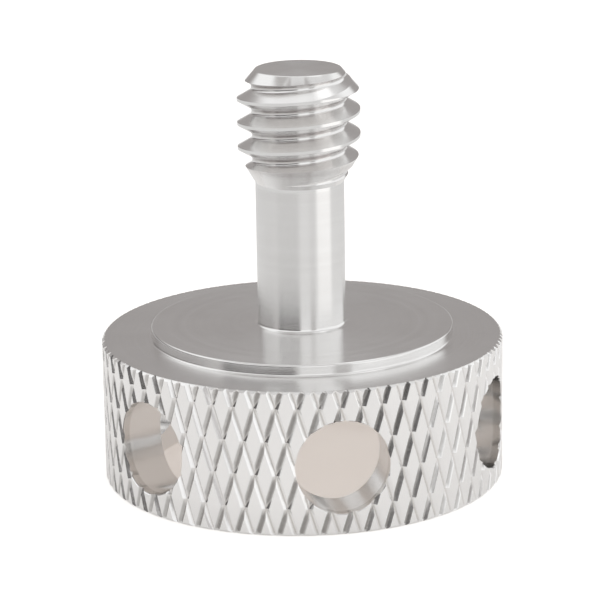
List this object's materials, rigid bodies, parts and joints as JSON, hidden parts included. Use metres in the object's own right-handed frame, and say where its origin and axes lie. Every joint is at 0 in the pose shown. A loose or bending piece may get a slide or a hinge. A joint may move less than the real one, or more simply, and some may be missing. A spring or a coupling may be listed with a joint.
{
  "type": "adjusting screw",
  "caption": "One-piece adjusting screw with a hollow knurled round head, cross holes, a raised seat, a smooth captive neck and a short thread.",
  "frame": {"origin": "middle of the head's open rim, on the plane that the screw stands on", "axes": "+Z along the screw's axis, from the open head to the end of the thread; -Y through one of the radial holes"},
  "size_m": [0.021, 0.021, 0.0216],
  "materials": {
    "metal": "satin, turned"
  },
  "bodies": {
    "root": {"adjusting_screw": "metal"}
  },
  "joints": []
}
